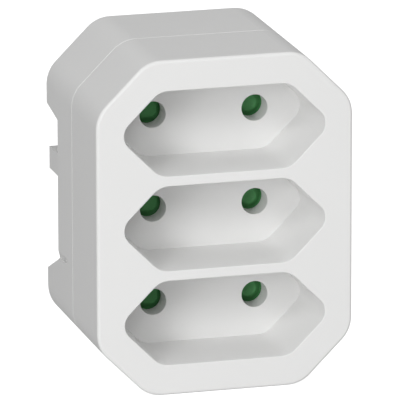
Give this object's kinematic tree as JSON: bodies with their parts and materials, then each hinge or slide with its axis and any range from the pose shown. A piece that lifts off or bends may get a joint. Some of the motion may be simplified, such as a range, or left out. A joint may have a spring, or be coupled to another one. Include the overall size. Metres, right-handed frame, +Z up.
{
  "type": "multi socket adapter",
  "caption": "Octagonal white mains socket adapter with stacked flat-plug recesses, green sliding shutters behind the pin holes and a round unearthed plug on its back.",
  "frame": {"origin": "middle of the plug's face, between the two plug pins", "axes": "front looks along -Y, plug pins point along +Y, X to the right and Z up as in the picture"},
  "size_m": [0.0472, 0.0743, 0.0618],
  "materials": {
    "white_shell": "smooth semi-gloss white moulding",
    "natural_plastic": "natural engineering plastic",
    "green_plastic": "deep green moulding",
    "busbar_brass": "stamped strip",
    "contact_brass": "rolled spring sleeve",
    "plated_pin": "nickel plated, turned",
    "spring_steel": "drawn wire",
    "screw_steel": "zinc plated"
  },
  "bodies": {
    "housing": {"front_cover": "white_shell", "rear_housing": "white_shell", "shutter_guide": "natural_plastic", "shutter_spring_top": "spring_steel", "contact_line_top": "contact_brass", "contact_neutral_top": "contact_brass", "shutter_spring_middle": "spring_steel", "contact_line_middle": "contact_brass", "contact_neutral_middle": "contact_brass", "shutter_spring_bottom": "spring_steel", "contact_line_bottom": "contact_brass", "contact_neutral_bottom": "contact_brass", "line_busbar": "busbar_brass", "neutral_busbar": "busbar_brass", "line_pin": "plated_pin", "neutral_pin": "plated_pin", "housing_screws": "screw_steel"},
    "top_shutter": {"shutter_top": "green_plastic"},
    "middle_shutter": {"shutter_middle": "green_plastic"},
    "bottom_shutter": {"shutter_bottom": "green_plastic"}
  },
  "joints": [
    {"name": "top_shutter_slide", "type": "slide", "parent": "housing", "child": "top_shutter", "axis": [0, 0, 1], "range_m": [0, 0.0052], "stiffness_N_per_m": 60, "springref_m": -0.004, "deforming": ["shutter_spring_top"]},
    {"name": "middle_shutter_slide", "type": "slide", "parent": "housing", "child": "middle_shutter", "axis": [0, 0, 1], "range_m": [0, 0.0052], "stiffness_N_per_m": 60, "springref_m": -0.004, "deforming": ["shutter_spring_middle"]},
    {"name": "bottom_shutter_slide", "type": "slide", "parent": "housing", "child": "bottom_shutter", "axis": [0, 0, 1], "range_m": [0, 0.0052], "stiffness_N_per_m": 60, "springref_m": -0.004, "deforming": ["shutter_spring_bottom"]}
  ]
}
